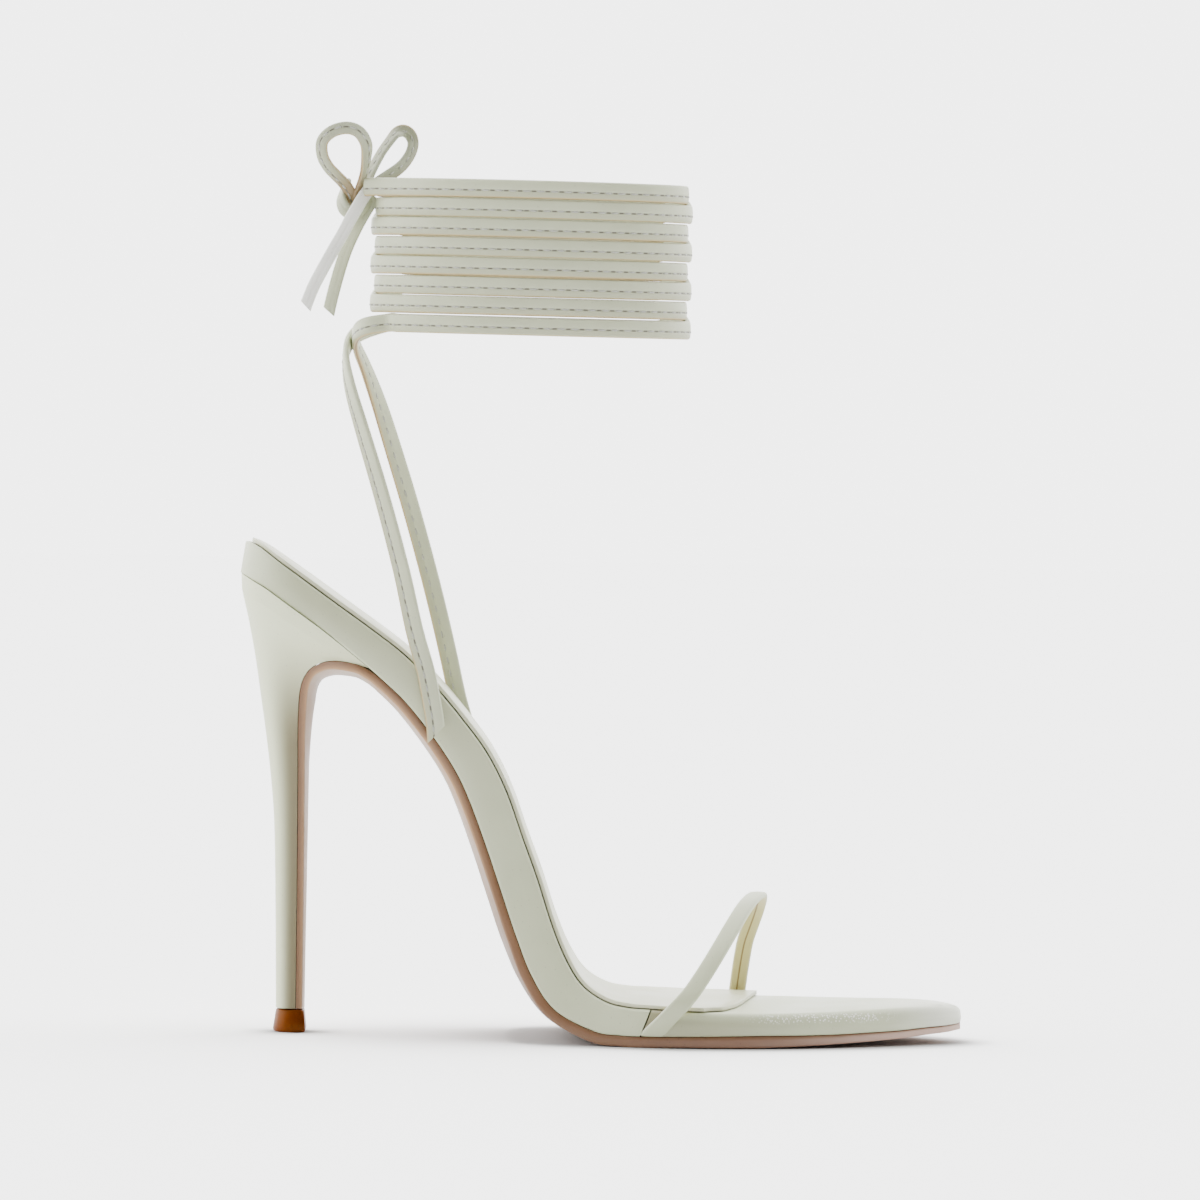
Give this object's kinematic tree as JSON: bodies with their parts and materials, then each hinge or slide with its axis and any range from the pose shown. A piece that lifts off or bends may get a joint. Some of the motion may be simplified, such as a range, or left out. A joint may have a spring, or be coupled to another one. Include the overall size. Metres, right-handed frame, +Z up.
{
  "type": "lace up heeled sandal",
  "caption": "High heeled sandal with one slanted toe strap, a pointed covered sole and long flat ties wound round the ankle in a cuff and bowed at the back.",
  "frame": {"origin": "on the floor, under the middle of the sandal without its bow", "axes": "+X to the toe, +Z up, -Y to the outer side of the right foot"},
  "size_m": [0.1942, 0.0781, 0.2432],
  "materials": {
    "cream_leather": "smooth pale cream leather with a soft sheen",
    "heel_leather": "smooth pale cream leather drawn over the heel",
    "tie_leather": "folded pale cream leather with one row of stitches",
    "lining_leather": "matt pale cream lining leather",
    "tan_leather": "polished tan sole leather",
    "amber_rubber": "amber brown heel tip"
  },
  "bodies": {
    "root": {"outsole": "tan_leather", "rand": "cream_leather", "front_cover": "cream_leather", "sock": "lining_leather", "heel": "heel_leather", "top_piece": "amber_rubber", "toe_strap": "cream_leather", "ankle_ties": "tie_leather", "knot": "tie_leather", "loop_near": "tie_leather", "loop_far": "tie_leather", "end_1": "tie_leather", "end_2": "tie_leather"}
  },
  "joints": []
}
